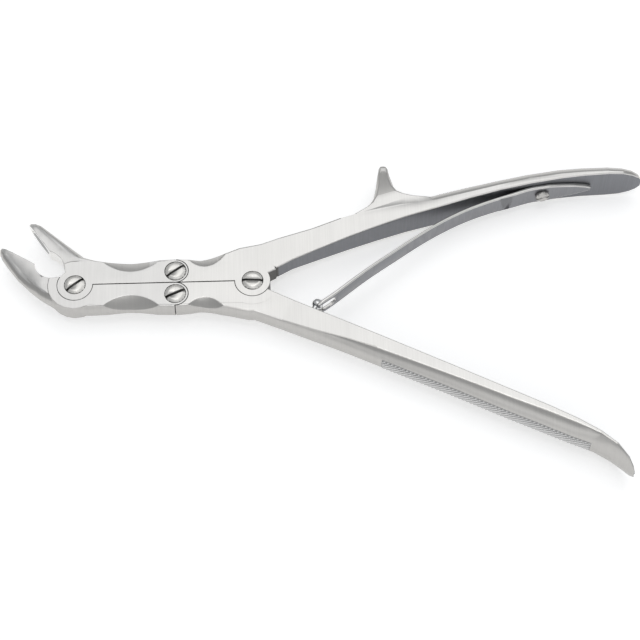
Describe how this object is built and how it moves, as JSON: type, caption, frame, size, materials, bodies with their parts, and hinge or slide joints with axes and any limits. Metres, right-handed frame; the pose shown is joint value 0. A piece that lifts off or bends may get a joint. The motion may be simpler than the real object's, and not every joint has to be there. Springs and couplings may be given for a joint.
{
  "type": "bone rongeur",
  "caption": "Hand instrument for nibbling away bone: curved cupped jaws driven by sprung handles through a compound linkage, with a finger spur on one handle.",
  "frame": {"origin": "rear pivot axis at the flat back face of the joint, with the handles sprung open", "axes": "+X from the jaws to the handles along the line through the front and rear pivots, +Y towards the handle with the finger spur, +Z through the thickness towards the screw heads"},
  "size_m": [0.2272, 0.1227, 0.0142],
  "materials": {
    "satin_steel": "satin brushed stainless steel",
    "screw_steel": "fine turned stainless steel",
    "spring_steel": "ground spring steel",
    "polished_steel": "polished stainless steel"
  },
  "bodies": {
    "lower_handle": {"lower_handle": "satin_steel", "handle_pivot_screw": "screw_steel", "lower_link_screw": "screw_steel", "spring_ball_stud": "polished_steel"},
    "upper_handle": {"upper_handle": "satin_steel", "upper_link_screw": "screw_steel", "leaf_spring": "spring_steel", "spring_screw": "screw_steel"},
    "lower_jaw": {"lower_jaw": "satin_steel", "jaw_pivot_screw": "screw_steel"},
    "upper_jaw": {"upper_jaw": "satin_steel"}
  },
  "joints": [
    {"name": "handle_pivot", "type": "hinge", "parent": "lower_handle", "child": "upper_handle", "pos_m": [0, 0, 0.0035], "axis": [0, 0, -1], "range_deg": [0, 30.9], "stiffness_Nm_per_rad": 2.4, "springref_deg": -9.74, "deforming": ["leaf_spring"]},
    {"name": "lower_link", "type": "hinge", "parent": "lower_handle", "child": "lower_jaw", "pos_m": [-0.0266, -0.0045, 0.0035], "axis": [0, 0, -1], "range_deg": [0, 27.3]},
    {"name": "jaw_pivot", "type": "hinge", "parent": "lower_jaw", "child": "upper_jaw", "pos_m": [-0.0612, 0, 0.0035], "axis": [0, 0, 1], "range_deg": [0, 23.6]}
  ],
  "couplings": [
    {"joint": "lower_link", "follows": "handle_pivot", "ratio": 0.8795},
    {"joint": "jaw_pivot", "follows": "handle_pivot", "ratio": 0.7596}
  ]
}
